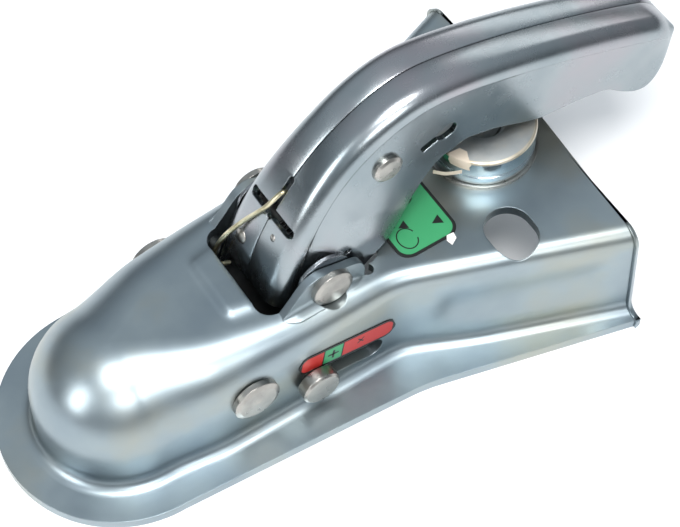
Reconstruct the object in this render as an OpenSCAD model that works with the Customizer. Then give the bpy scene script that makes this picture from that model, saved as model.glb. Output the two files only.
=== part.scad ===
// Coupling head for a V-shaped trailer drawbar, pressed from thick sheet, with a
// lifting handle, a ball jaw, a locking slide and a wear indicator pin.
// Millimetres. X points forward to the nose, Y to the left, Z up.
// The origin is the centre of the towing ball when it sits in the cup.

/* [Ball cup] */
// Diameter of the towing ball
ball_d = 50; // [44:1:54]
// Gap between the ball and the cup
ball_gap = 0.5; // [0.3:0.1:1]

/* [Pressed housing] */
// Thickness of the pressed sheet
sheet_t = 4; // [3:0.5:5]
// Height of the flat top plate above the ball centre
plate_z = 27; // [25:0.5:29]
// Height of the top of the flange below the ball centre
flange_drop = 15; // [13:1:18]
// Radius of the flange round the nose
nose_flange_r = 43; // [40:1:48]
// Half width over the side walls beside the indicator slot
side_y = 32; // [31:0.5:34]
// Distance from the ball centre back to the bend where the sides spread
bend_back = 92; // [90:1:98]
// Distance from the ball centre back to the rear edge
rear_back = 172; // [165:1:185]
// Half width over the side walls at the rear edge
rear_y = 62; // [56:1:68]
// Width of the flange at the rear edge
rear_flange = 8; // [6:0.5:12]
// Outer radius of the long shoulders at the rear
shoulder_r = 7; // [6:0.5:9]
// Radius between the side wall and the flange
foot_r = 5; // [3:0.5:6]
// Depth of the stiffening groove in each rear side wall
groove_depth = 2; // [0:0.25:2.5]
// Rise of the lip in front of the handle opening
lip_rise = 1.4; // [0:0.2:2]

/* [Handle opening and ears] */
// Distance from the ball centre back to the front edge of the opening
opening_front = 46.5; // [44:0.5:48]
// Distance from the ball centre back to the rear edge of the opening
opening_rear = 94; // [92:0.5:98]
// Half width of the opening, which is the inner face of each ear
ear_inner_y = 20; // [19.6:0.1:20.4]
// Distance from the ball centre back to the handle pivot
pivot_back = 70.5; // [69:0.5:72]
// Height of the handle pivot above the ball centre
pivot_z = 33; // [32.5:0.5:35]
// Height of each ear above the pivot
ear_above = 9.5; // [9:0.5:12]

/* [Bolt holes] */
// Distance from the ball centre back to the two oblong bolt holes
bolt_back = 134.8; // [130:0.2:140]
// Distance of each oblong bolt hole from the centre line
bolt_y = 35.7; // [33:0.1:38]
// Width of each oblong bolt hole
bolt_slot_w = 17; // [14:0.5:18]
// Length of each oblong bolt hole across the head
bolt_slot_l = 20.4; // [19:0.2:24]
// Distance from the ball centre back to the clamping disc
disc_back = 147.5; // [145:0.5:150]

/* [Clamping disc] */
// Diameter of the clamping disc
disc_d = 37.6; // [34:0.2:40]
// Height of the clamping disc
disc_h = 12; // [10:0.5:12.5]
// Diameter of the clamping screw
clamp_screw_d = 12; // [10:1:14]
// Thickness of the thin washer under the disc
base_washer_t = 1.4; // [1:0.2:2]

/* [Handle] */
// Sheet thickness of the handle shells
shell_t = 2; // [1.5:0.25:2.5]
// Half width of the handle grip
grip_y = 13; // [12:0.5:14]
// Half width of the handle base between the ears
base_y = 18.4; // [18:0.1:18.6]
// Corner radius along the top of the grip
grip_corner = 6.5; // [5:0.5:9]
// How far the handle lifts in degrees
lift_angle = 36; // [30:1:38]

/* [Pins and rivets] */
// Diameter of the pivot pin
pivot_d = 8; // [8:0.5:10]
// Diameter of the jaw rivet
jaw_rivet_d = 10; // [8:0.5:12]
// Diameter of the indicator pin
pin_d = 8; // [6:0.5:8.4]
// Height of the indicator slot across its length
slot_h = 9; // [8.8:0.2:11]
// Travel of the indicator pin along the slot
pin_travel = 23.4; // [20:0.2:25]
// Slope of the indicator slot in degrees
slot_slope = 9; // [8:1:12]
// Radial running clearance of turning fits
running_gap = 0.05; // [0.02:0.01:0.09]
// Gap left between parts that pass each other
pass_gap = 0.4; // [0.3:0.05:0.6]

/* [Hidden] */
$fn = 48;

cup_r = ball_d / 2 + ball_gap;
dome_r = cup_r + sheet_t;
flange_top = -flange_drop;
// Where the side walls start to widen behind the cup, and where they run parallel
widen_start = 0;
widen_end = 25;
// Outward lean of the wall foot
wall_lean = 2;
// Half length of the rounded bend
bend_blend = 6;
// Sheet edge at the rear runs slightly forward towards its corners
rear_rake = 0.06;
nose_steps = 14;
shoulder_steps = 7;
wall_steps = 4;
foot_steps = 3;

function clamp01(v) = max(0, min(1, v));
function ease(v) = let(c = clamp01(v)) c * c * (3 - 2 * c);
// Distance behind the bend, rounded into the straight front by a parabola
function behind_bend(x) = let(u = -x - bend_back)
    u <= -bend_blend ? 0 : u >= bend_blend ? u : pow(u + bend_blend, 2) / (4 * bend_blend);
rear_run = rear_back - bend_back;
function wall_y(x) = dome_r + (side_y - dome_r) * ease((-x - widen_start) / (widen_end - widen_start))
    + (rear_y - side_y) / rear_run * behind_bend(x);
flange_spread = 0.07;
rear_flange_y = rear_y + rear_flange;
function flange_y(x) = nose_flange_r + flange_spread * max(0, -x)
    + (rear_flange_y - nose_flange_r - flange_spread * rear_back) / rear_run * behind_bend(x);
// The shoulders tighten from the full round of the dome to the rear radius
shoulder_run = 100;
apex_flat = 0.5;
function shoulder(x) = shoulder_r
    + (dome_r - apex_flat - shoulder_r) * pow(max(0, 1 + x / shoulder_run), 2);
lip_start = 36;
lip_half_y = 15;
function lip(x) = lip_rise * clamp01((-x - lip_start) / 2) * clamp01((opening_front + 2 + x) / 1.5);
dome_fade = 60;
function top_z(x) = plate_z + (dome_r - plate_z) * max(0, 1 + x / dome_fade);
function lean(x) = wall_lean * ease((-x - bend_back) / 30);
groove_start = bend_back + 10;
groove_end = rear_back - 8;
function groove(x) = groove_depth * ease((-x - groove_start) / 10) * ease((groove_end + x) / 6);

// Half of a cross-section from the crown to the flange edge, moved inwards by off
function half_section(x, off) =
    let(w = wall_y(x), r = shoulder(x), h = top_z(x), d = lean(x), g = groove(x),
        foot_z = flange_top + foot_r)
    concat(
        [[0, h + lip(x) - off], [min(lip_half_y, 0.7 * (w - r)), h + lip(x) - off],
            [min(lip_half_y + 2.5, 0.9 * (w - r)), h - off]],
        [for (i = [0:shoulder_steps]) let(a = 90 - 90 * i / shoulder_steps)
            [w - r + (r - off) * cos(a), h - r + (r - off) * sin(a)]],
        [for (i = [1:wall_steps]) let(s = i / (wall_steps + 1))
            [w - off + d * s - g * pow(sin(180 * s), 2), (h - r) * (1 - s) + foot_z * s]],
        [for (i = [0:foot_steps]) let(a = 180 + 90 * i / foot_steps)
            [w + d + foot_r + (foot_r + off) * cos(a), foot_z + (foot_r + off) * sin(a)]],
        [[flange_y(x), flange_top - off]]);
section_last = shoulder_steps + wall_steps + foot_steps + 5;
section_n = 2 * section_last + 1;
stations = concat(
    [-rear_back, -groove_end, -groove_end + 6],
    [for (i = [1:3]) -groove_end + 6 + i * (groove_end - 6 - groove_start - 10) / 4],
    [-groove_start - 10, -groove_start, -bend_back - 2, -bend_back + 2, -bend_back + bend_blend, -70, -58,
     -opening_front - 2, -opening_front - 0.5, -opening_front, -lip_start - 2, -lip_start,
     -widen_end, -widen_end * 0.7, -widen_end * 0.35, -widen_start]);
last_station = len(stations) - 1;
skin_n = len(stations) * section_n + (nose_steps - 1) * section_last;

// One skin of the sheet: full cross-sections back from the ball, then radial ones round the nose
function skin(off) = concat(
    [for (x = stations, j = [-section_last:section_last])
        let(p = half_section(x, off)[abs(j)])
        [x == -rear_back ? x + rear_rake * p[0] : x, sign(j) * p[0], p[1]]],
    [for (k = [1:nose_steps - 1], j = [1:section_last])
        let(a = 90 - 180 * k / nose_steps, p = half_section(0, off)[j])
        [p[0] * cos(a), p[0] * sin(a), p[1]]]);
function body_id(i, j) = i * section_n + j + section_last;
function nose_id(k, j) = j == 0 ? body_id(last_station, 0)
    : k == 0 ? body_id(last_station, j)
    : k == nose_steps ? body_id(last_station, -j)
    : len(stations) * section_n + (k - 1) * section_last + j - 1;
skin_faces = concat(
    [for (i = [0:last_station - 1], j = [-section_last:section_last - 1], h = [0, 1])
        h == 0 ? [body_id(i, j), body_id(i, j + 1), body_id(i + 1, j + 1)]
               : [body_id(i, j), body_id(i + 1, j + 1), body_id(i + 1, j)]],
    [for (k = [0:nose_steps - 1], j = [0:section_last - 1], h = [0:(j == 0 ? 0 : 1)])
        h == 0 ? [nose_id(k, j), nose_id(k, j + 1), nose_id(k + 1, j + 1)]
               : [nose_id(k, j), nose_id(k + 1, j + 1), nose_id(k + 1, j)]]);
rim = concat(
    [for (i = [0:last_station]) body_id(i, section_last)],
    [for (k = [1:nose_steps - 1]) nose_id(k, section_last)],
    [for (i = [last_station:-1:0]) body_id(i, -section_last)],
    [for (j = [-section_last + 1:section_last - 1]) body_id(0, j)]);
rim_faces = [for (i = [0:len(rim) - 1], h = [0, 1])
    let(a = rim[i], b = rim[(i + 1) % len(rim)])
    h == 0 ? [a, a + skin_n, b + skin_n] : [a, b + skin_n, b]];

module pressed_sheet() {
    polyhedron(
        points = concat(skin(0), skin(sheet_t)),
        faces = concat(skin_faces, [for (f = skin_faces) [for (v = f) v + skin_n][0] >= 0
            ? [f[0] + skin_n, f[2] + skin_n, f[1] + skin_n] : []], rim_faces),
        convexity = 6);
}

// Turns a shape drawn in X and Y so that it lies in X and Z and is thick along Y
module along_y(y_low, y_high) {
    translate([0, y_high, 0])
        rotate([90, 0, 0])
            linear_extrude(height = y_high - y_low)
                children();
}

module bore_y(p, r, y_low, y_high) {
    translate([p[0], y_high, p[1]])
        rotate([90, 0, 0])
            cylinder(r = r, h = y_high - y_low);
}

// A slot with round ends, drawn about its middle and turned by angle
module long_hole(length, width, angle = 0) {
    rotate(angle) {
        square([length - width, width], center = true);
        for (s = [-1, 1]) translate([s * (length - width) / 2, 0]) circle(d = width);
    }
}

pivot = [-pivot_back, pivot_z];
jaw_axis = [-34.5, 7];
// Indicator pin at rest, at the front end of its slot
pin_rest = [-57.6, -2];
slot_dir = [-cos(slot_slope), -sin(slot_slope)];
slot_mid = pin_rest + slot_dir * pin_travel / 2;
slot_len = pin_travel + slot_h + 1;
head_t = 3;
jaw_head_r = 8.6;
pivot_head_r = 7.4;
jaw_seat_y = side_y;
ear_t = 3;
ear_outer_y = ear_inner_y + ear_t;

module ear_outline() {
    front = -opening_front - 0.5;
    rear = -pivot_back - 13.5;
    top = pivot_z + ear_above;
    round_r = 6;
    polygon([[front, 24], [front, 27.5], [front - 2.5, 29.5], [-pivot_back + 10.5, top - 2.5],
        [-pivot_back + 8, top - 0.6], [-pivot_back + 5, top], [rear + round_r, top],
        [rear, top - round_r], [rear, 24]]);
    translate([rear + round_r, top - round_r]) circle(r = round_r);
}

module opening_outline() {
    corner = 6;
    length = opening_rear - opening_front;
    translate([-opening_rear, -ear_inner_y]) {
        translate([corner, 0]) square([length - 2 * corner, 2 * ear_inner_y]);
        translate([0, corner]) square([length, 2 * ear_inner_y - 2 * corner]);
        for (x = [corner, length - corner], y = [corner, 2 * ear_inner_y - corner])
            translate([x, y]) circle(r = corner);
    }
}

relief_r = 2.2;

module housing() {
    color("silver")
    difference() {
        union() {
            difference() {
                pressed_sheet();
                translate([0, 0, 10]) linear_extrude(height = 40) opening_outline();
            }
            for (s = [-1, 1])
                along_y(s > 0 ? ear_inner_y : -ear_outer_y, s > 0 ? ear_outer_y : -ear_inner_y)
                    ear_outline();
        }
        // Relief nick at the rear foot of each ear
        for (s = [-1, 1])
            translate([-pivot_back - 15.5, s * (ear_inner_y + 1.5), plate_z - 8])
                cylinder(r = relief_r, h = 12);
        // Oblong bolt holes and the hole for the clamping screw
        for (s = [-1, 1])
            translate([-bolt_back, s * bolt_y, plate_z - sheet_t - 2])
                linear_extrude(height = sheet_t + 4)
                    long_hole(bolt_slot_l, bolt_slot_w, 90);
        translate([-disc_back, 0, plate_z - sheet_t - 2])
            cylinder(d = clamp_screw_d + 1, h = sheet_t + 4);
        // Bores for the jaw rivet and the pivot pin
        bore_y(jaw_axis, jaw_rivet_d / 2, -50, 50);
        bore_y(pivot, pivot_d / 2, -50, 50);
        // Room pressed into the shoulders under the heads of the pivot pin
        for (s = [-1, 1])
            bore_y(pivot, pivot_head_r + pass_gap, s > 0 ? ear_outer_y : -40, s > 0 ? 40 : -ear_outer_y);
        // Indicator slots through both side walls
        along_y(-50, 50)
            translate(slot_mid) long_hole(slot_len, slot_h, slot_slope);
    }
}

// The handle is a channel of two mirrored shells. Its crown runs from the tail over the
// hump and down the front, and its lower edge runs from the tail to the base.
function bezier(p, t) = pow(1 - t, 3) * p[0] + 3 * pow(1 - t, 2) * t * p[1]
    + 3 * (1 - t) * t * t * p[2] + t * t * t * p[3];
crown_rear = [[-221, 55.5], [-193, 69.8], [-136, 90.7], [-115, 90.7]];
crown_front = [[-115, 90.7], [-89.2, 90.7], [-58.9, 59.8], [-51.8, 24]];
hump = 0.55;
// The crown turns down over the last stretch of the tail
tail_drop = 5;
tail_turn = 0.06;
function crown(s) = s < hump
    ? bezier(crown_rear, s / hump) - [0, tail_drop * pow(1 - clamp01(s / tail_turn), 2)]
    : bezier(crown_front, (s - hump) / (1 - hump));
// Lower edge as pairs of station and point
under_s = [0, 0.015, 0.04, 0.07, 0.105, 0.14, 0.2, 0.3, 0.4, 0.5, 0.58, 0.66, 0.74, 0.82, 0.9, 1];
under_x = [-220.5, -217.5, -212.7, -206.6, -198.2, -191.5, -179, -161, -143, -131, -120, -109, -100, -92, -86, -78];
under_z = [46, 34.5, 28.3, 27.5, 33.1, 39.6, 42.5, 44.5, 53, 56.5, 53, 43, 35, 29, 24, 16];
function table(keys, values) = [for (i = [0:len(keys) - 1]) [keys[i], values[i]]];
function under(s) = [lookup(s, table(under_s, under_x)), lookup(s, table(under_s, under_z))];
// Half width at the crown and at the lower edge
function crown_y(s) = grip_y * sqrt(1 - pow(1 - clamp01(0.35 + s / 0.06 * 0.65), 2))
    + 2.5 * ease((s - 0.74) / 0.2);
// The flat side is set in under the rounded shoulder, which leaves a crisp line along the grip
side_step = 0.6;
function step_in(s) = side_step * clamp01(s / 0.04);
side_wall_y = grip_y - side_step;
function under_y(s) = max(crown_y(s) - step_in(s), side_wall_y
    + (base_y - side_wall_y) * ease((s - 0.6) / 0.16) - 50 * (0.06 - min(s, 0.06)));
handle_s = [0, 0.007, 0.02, 0.04, 0.055, 0.07, 0.09, 0.105, 0.125, 0.145, 0.2, 0.27, 0.34, 0.41, 0.48, 0.54, 0.6, 0.65, 0.7,
    0.74, 0.78, 0.82, 0.86, 0.91, 0.96, 1];
corner_steps = 4;
seam_gap = 0.08;
// Station of the inner face of the closed tail
tail_wall_s = 0.016;

// One cross-section of a handle half, closed along the seam, moved inwards by off and with
// its open side reaching past the lower edge by over
function half_form_section(s, off, seam_y, over) =
    let(t = crown(s), l = under(s), v = l - t, depth = norm(v), d = v / depth,
        b = crown_y(s), c = under_y(s), k = step_in(s), r = min(grip_corner, b - shell_t - 0.5, depth / 3),
        fold = 0.66 - 0.24 * ease((s - 0.66) / 0.08),
        start = max(r + 0.8, depth * fold), stop = max(start + 1, depth * (fold + 0.2)))
    [for (q = concat(
        [[seam_y, off]],
        [for (i = [0:corner_steps]) let(a = 90 - 90 * i / corner_steps)
            [b - r + (r - off) * cos(a), r - (r - off) * sin(a)]],
        [[b - k - off, min(r + 1, start - 0.5)], [b - k - off, start - 0.3],
            [(b - k + c) / 2 - off, (start + stop) / 2], [c - off, stop],
         [c - off, depth + over], [seam_y, depth + over]]))
        [t[0] + d[0] * q[1], q[0], t[1] + d[1] * q[1]]];

// A solid lofted through cross-sections that all have n points
module loft(sections, n) {
    m = len(sections);
    polyhedron(points = [for (p = sections) each p], convexity = 8, faces = concat(
        [[for (j = [0:n - 1]) n - 1 - j]],
        [for (i = [0:m - 2], j = [0:n - 1], h = [0, 1])
            let(a = i * n + j, b = i * n + (j + 1) % n)
            h == 0 ? [a, b, b + n] : [a, b + n, a + n]],
        [[for (j = [0:n - 1]) (m - 1) * n + j]]));
}

module handle_shell_solid() {
    n = corner_steps + 8;
    difference() {
        loft([for (s = handle_s) half_form_section(s, 0, seam_gap, 0)], n);
        loft([for (s = concat([tail_wall_s], [for (s = handle_s) if (s > tail_wall_s + 0.003) s]))
            half_form_section(s, shell_t, -1, s > 0.9 ? 8 : 2)], n);
        translate([-60, -5, 2]) cube([30, 60, 16]);
    }
}

// A lever plate outside each shell has a fork that moves the indicator pin
lever_in_y = base_y + 0.1;
lever_out_y = ear_inner_y - 0.3;
fork_gap = 1.5;
arm_v = pin_rest - pivot;
arm_angle = atan2(arm_v[1], arm_v[0]);
arm_len = norm(arm_v);
fork_reach = 10;

module lever_outline() {
    arm_half = pin_d / 2 + fork_gap + 4;
    fork_w = pin_d + 2 * fork_gap;
    difference() {
        union() {
            translate(pivot) circle(r = 10);
            translate(pivot) rotate(arm_angle)
                translate([0, -arm_half]) square([arm_len + fork_reach, 2 * arm_half]);
        }
        translate(pivot) circle(r = pivot_d / 2 + running_gap);
        translate(pivot) rotate(arm_angle) {
            translate([arm_len - 1, -fork_w / 2]) square([fork_reach + 10, fork_w]);
            translate([arm_len - 1, 0]) circle(d = fork_w);
        }
    }
}

handle_rivet_at = [-98.7, 65.3];
handle_rivet_r = 3.5;
handle_rivet_head_r = 5.4;
handle_rivet_head_t = 2.4;
keyhole_at = [-123, 68];
cross_slot_at = [-64, 52.5];
cross_slot_tilt = 64;
cross_half = 13.5;

module lever_plate_left() {
    color("darkgray")
    along_y(lever_in_y, lever_out_y) lever_outline();
}

module lever_plate_right() {
    color("darkgray")
    along_y(-lever_out_y, -lever_in_y) lever_outline();
}

module handle_shell_cuts() {
    // Bores for the pivot pin and the cross rivet
    bore_y(pivot, pivot_d / 2 + running_gap, -30, 30);
    bore_y(handle_rivet_at, handle_rivet_r, -30, 30);
    // Keyhole for a padlock and a small tooling hole
    along_y(-30, 30) {
        translate(keyhole_at) long_hole(9, 5.6, 25);
        translate(keyhole_at + [7, -2.6]) rotate(20) square([8, 2.6], center = true);
        translate([-78, 43.5]) circle(d = 2.6);
    }
    // Cross-shaped slot in the front wall
    translate([cross_slot_at[0], 0, cross_slot_at[1]])
        rotate([0, cross_slot_tilt, 0])
            translate([0, 0, -6])
                linear_extrude(height = 12) {
                    long_hole(2 * cross_half + 3.2, 3.2, 90);
                    translate([-6, 0]) square([18, 2.4], center = true);
                }
}

module handle_half() {
    difference() {
        mirror([0, 1, 0]) handle_shell_solid();
        handle_shell_cuts();
    }
}

module handle_left_shell() {
    color("lightsteelblue")
    mirror([0, 1, 0]) handle_half();
}

module handle_right_shell() {
    color("lightsteelblue")
    handle_half();
}

// A rivet or pin along Y with a slightly domed head at each end
module headed_pin(p, shank_r, head_r, seat_y, thick, crown = 0.5, shank_y = 0) {
    translate([p[0], 0, p[1]])
        rotate([-90, 0, 0])
            rotate_extrude()
                polygon([[0, -seat_y - thick], [head_r * 0.8, -seat_y - thick + crown * 0.3],
                    [head_r, -seat_y - thick + crown + 0.4], [head_r, -seat_y], [shank_r, -seat_y],
                    [shank_r, seat_y], [head_r, seat_y], [head_r, seat_y + thick - crown - 0.4],
                    [head_r * 0.8, seat_y + thick - crown * 0.3], [0, seat_y + thick]]);
}

// A ring along Y
module ring_y(p, inner_r, outer_r, y_low, y_high) {
    difference() {
        bore_y(p, outer_r, y_low, y_high);
        bore_y(p, inner_r, y_low - 1, y_high + 1);
    }
}

module handle_rivet() {
    color("gainsboro")
    headed_pin(handle_rivet_at, handle_rivet_r, handle_rivet_head_r, side_wall_y + 0.25,
        handle_rivet_head_t);
}

module handle_rivet_sleeve() {
    color("silver")
    ring_y(handle_rivet_at, handle_rivet_r, handle_rivet_r + 2.2, -side_wall_y + shell_t, side_wall_y - shell_t);
}

module pivot_pin() {
    color("gainsboro")
    headed_pin(pivot, pivot_d / 2, pivot_head_r, ear_outer_y, head_t);
}

// A tube swept along a list of points that never run along Y
function tube_ring(p, dir, r, n) =
    let(u = cross(dir, [0, 1, 0]), a = u / norm(u), b = cross(dir, a))
    [for (i = [0:n - 1]) p + r * cos(360 * i / n) * a + r * sin(360 * i / n) * b];
module swept_tube(path, r, n = 8) {
    m = len(path);
    dirs = [for (i = [0:m - 1]) let(v = path[min(i + 1, m - 1)] - path[max(i - 1, 0)]) v / norm(v)];
    pts = [for (i = [0:m - 1]) each tube_ring(path[i], dirs[i], r, n)];
    polyhedron(points = pts, convexity = 8, faces = concat(
        [[for (i = [0:n - 1]) i]],
        [for (i = [0:m - 2], j = [0:n - 1], h = [0, 1])
            let(a = i * n + j, b = i * n + (j + 1) % n)
            h == 0 ? [a, a + n, b + n] : [a, b + n, b]],
        [[for (i = [n - 1:-1:0]) (m - 1) * n + i]]));
}

// Points of a coil round a Y axis through p
function coil(p, r, y0, pitch, turns, start, per = 12) =
    [for (i = [0:turns * per]) let(a = start + 360 * i / per)
        [p[0] + r * cos(a), y0 + pitch * i / per, p[1] + r * sin(a)]];

pivot_spring_wire = 1.2;
module pivot_spring() {
    turns = 6;
    r = pivot_d / 2 + 0.25 + pivot_spring_wire / 2;
    color("khaki")
    swept_tube(coil(pivot, r, -pivot_spring_wire * 4.2, pivot_spring_wire * 1.4, turns, 180),
        pivot_spring_wire / 2);
}

module jaw_rivet() {
    color("gainsboro")
    headed_pin(jaw_axis, jaw_rivet_d / 2, jaw_head_r, jaw_seat_y, head_t);
}

jaw_half = 11;
bush_wall = 2;
module jaw_bush() {
    color("goldenrod")
    ring_y(jaw_axis, jaw_rivet_d / 2, jaw_rivet_d / 2 + bush_wall, -jaw_half - 0.4, jaw_half + 0.4);
}

module jaw_washers() {
    color("silver")
    for (s = [-1, 1])
        ring_y(jaw_axis, jaw_rivet_d / 2, 8, s > 0 ? jaw_half + 0.4 : -jaw_half - 2,
            s > 0 ? jaw_half + 2 : -jaw_half - 0.4);
}

module ball_jaw() {
    color("slategray")
    difference() {
        union() {
            along_y(-jaw_half, jaw_half)
                polygon([[-45.5, -9], [-45.5, 8], [-41, 15], [-30, 16], [-20, 13], [-14, -18],
                    [-26, -18], [-40, -16]]);
            bore_y(jaw_axis, 10.5, -jaw_half, jaw_half);
        }
        sphere(r = cup_r, $fn = 96);
        bore_y(jaw_axis, jaw_rivet_d / 2 + bush_wall + running_gap, -jaw_half - 1, jaw_half + 1);
    }
}

module jaw_spring() {
    wire = 1.6;
    r = jaw_rivet_d / 2 + 0.5 + wire / 2;
    color("khaki")
    swept_tube(coil(jaw_axis, r, jaw_half + 2.2 + wire / 2, wire * 1.15, 5, 0), wire / 2);
}

pin_head_r = 7.15;
pin_head_t = 4.6;
pin_head_y = side_y + 1.6 + pin_head_t;
module indicator_pin() {
    color("cadetblue")
    translate([pin_rest[0], 0, pin_rest[1]])
        rotate([-90, 0, 0])
            rotate_extrude()
                polygon([[0, -pin_head_y], [pin_d / 2 - 0.6, -pin_head_y], [pin_d / 2, -pin_head_y + 0.6],
                    [pin_d / 2, pin_head_y - pin_head_t], [pin_head_r, pin_head_y - pin_head_t],
                    [pin_head_r, pin_head_y - 0.8], [pin_head_r - 0.8, pin_head_y], [0, pin_head_y]]);
}

module indicator_pin_washer() {
    color("silver")
    ring_y(pin_rest, pin_d / 2, pin_head_r, -side_y - 3.6, -side_y - 1.6);
}

slide_half_y = lever_in_y - 0.5;
slide_front = 47;
module locking_slide() {
    color("dimgray")
    difference() {
        along_y(-slide_half_y, slide_half_y)
            polygon([[-slide_front, -11], [-slide_front, 3], [-slide_front - 4, 7], [-66, 7], [-69, 2],
                [-69, -8], [-66, -11]]);
        bore_y(pin_rest, pin_d / 2, -slide_half_y - 1, slide_half_y + 1);
    }
}

disc_z = plate_z + base_washer_t;
module clamp_disc() {
    color("rosybrown")
    translate([-disc_back, 0, disc_z])
        rotate_extrude()
            polygon([[clamp_screw_d / 2 + 0.5, 0], [disc_d / 2, 0], [disc_d / 2, disc_h - 0.8],
                [disc_d / 2 - 0.8, disc_h], [clamp_screw_d * 0.9, disc_h],
                [clamp_screw_d * 0.9, disc_h - 6], [clamp_screw_d / 2 + 0.5, disc_h - 6]]);
}

module disc_base_washer() {
    color("silver")
    translate([-disc_back, 0, plate_z])
        difference() {
            cylinder(d = disc_d + 2, h = base_washer_t);
            translate([0, 0, -1]) cylinder(d = clamp_screw_d + 1, h = base_washer_t + 2);
        }
}

screw_below = 16;
module clamp_screw() {
    color("dimgray")
    translate([-disc_back, 0, disc_z])
        difference() {
            union() {
                translate([0, 0, disc_h - 6]) cylinder(d = clamp_screw_d * 1.5, h = 5);
                translate([0, 0, -base_washer_t - sheet_t - screw_below])
                    cylinder(d = clamp_screw_d, h = base_washer_t + sheet_t + screw_below + disc_h - 6);
            }
            translate([0, 0, disc_h - 4.5]) cylinder(d = clamp_screw_d * 0.9, h = 5, $fn = 6);
        }
}

nut_washer_t = 2.5;
module clamp_nut_washer() {
    color("silver")
    translate([-disc_back, 0, plate_z - sheet_t - nut_washer_t])
        difference() {
            cylinder(d = clamp_screw_d * 2, h = nut_washer_t);
            translate([0, 0, -1]) cylinder(d = clamp_screw_d + 1, h = nut_washer_t + 2);
        }
}

module clamp_nut() {
    nut_h = clamp_screw_d * 0.8;
    color("silver")
    translate([-disc_back, 0, plate_z - sheet_t - nut_washer_t - nut_h])
        difference() {
            cylinder(d = clamp_screw_d * 1.75, h = nut_h, $fn = 6);
            translate([0, 0, -1]) cylinder(d = clamp_screw_d, h = nut_h + 2);
        }
}

label_t = 0.3;
module rounded_panel(length, width, r) {
    square([length - 2 * r, width], center = true);
    square([length, width - 2 * r], center = true);
    for (x = [-1, 1], y = [-1, 1]) translate([x * (length / 2 - r), y * (width / 2 - r)]) circle(r = r);
}

instruction_size = [23.6, 52.4];
instruction_r = 5;
module instruction_label() {
    color("mediumseagreen")
    translate([-disc_back + disc_d / 2 + 1 + instruction_size[0] / 2 + 6.5, 0, plate_z])
        linear_extrude(height = label_t) rounded_panel(instruction_size[0], instruction_size[1], instruction_r);
}

indicator_label_at = slot_mid + [-0.34, slot_h / 2 + 4.93];
indicator_size = [32, 9.5];
module indicator_label() {
    color("firebrick")
    along_y(side_y, side_y + label_t)
        translate(indicator_label_at) rotate(slot_slope) rounded_panel(indicator_size[0], indicator_size[1], 4);
}

housing();
handle_left_shell();
handle_right_shell();
handle_rivet();
handle_rivet_sleeve();
lever_plate_left();
lever_plate_right();
pivot_pin();
pivot_spring();
jaw_rivet();
jaw_bush();
jaw_washers();
ball_jaw();
jaw_spring();
indicator_pin();
indicator_pin_washer();
locking_slide();
clamp_disc();
disc_base_washer();
clamp_screw();
clamp_nut_washer();
clamp_nut();
instruction_label();
indicator_label();
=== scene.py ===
"""Trailer coupling head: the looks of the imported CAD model, in one file.

Lengths are millimetres in the classes below and metres in Blender. X points
forward to the nose, Y to the left and Z up, and the origin is the centre of
the towing ball.
"""

import logging
import math
from dataclasses import dataclass, field
from enum import Enum
from typing import Optional, Sequence

import bmesh
import bpy
import numpy as np
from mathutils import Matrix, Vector

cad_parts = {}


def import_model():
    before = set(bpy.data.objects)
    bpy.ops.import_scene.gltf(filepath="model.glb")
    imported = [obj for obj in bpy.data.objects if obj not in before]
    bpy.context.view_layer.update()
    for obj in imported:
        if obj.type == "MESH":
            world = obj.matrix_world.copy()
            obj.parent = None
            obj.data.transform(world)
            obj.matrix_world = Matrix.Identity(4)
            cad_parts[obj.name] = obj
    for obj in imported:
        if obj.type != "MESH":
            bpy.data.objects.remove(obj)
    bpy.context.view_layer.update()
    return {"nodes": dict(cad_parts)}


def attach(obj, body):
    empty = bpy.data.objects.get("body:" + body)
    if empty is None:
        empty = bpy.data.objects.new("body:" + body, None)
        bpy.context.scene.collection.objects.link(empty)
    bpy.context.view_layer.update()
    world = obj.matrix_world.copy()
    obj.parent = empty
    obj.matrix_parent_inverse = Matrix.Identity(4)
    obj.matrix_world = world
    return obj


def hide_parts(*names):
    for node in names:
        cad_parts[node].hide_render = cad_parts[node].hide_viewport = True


LOG = logging.getLogger("coupling_head")
MM = 0.001
# Points closer than this, in metres, are merged after a boolean
WELD_M = 2e-6
Array = np.ndarray


class Body(Enum):
    """The CAD bodies that new pieces ride on."""

    ROOT = "coupling_body"
    HANDLE = "handle"


# Finishes


def linear(hex_colour: str) -> tuple[float, float, float, float]:
    """Turns an sRGB hex colour into a linear RGBA value.

    Args:
        hex_colour: six hex digits.

    Returns:
        The linear colour with alpha 1.
    """
    parts = [int(hex_colour[i:i + 2], 16) / 255 for i in (0, 2, 4)]
    lin = [p / 12.92 if p <= 0.04045 else ((p + 0.055) / 1.055) ** 2.4 for p in parts]
    return (lin[0], lin[1], lin[2], 1.0)


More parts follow.
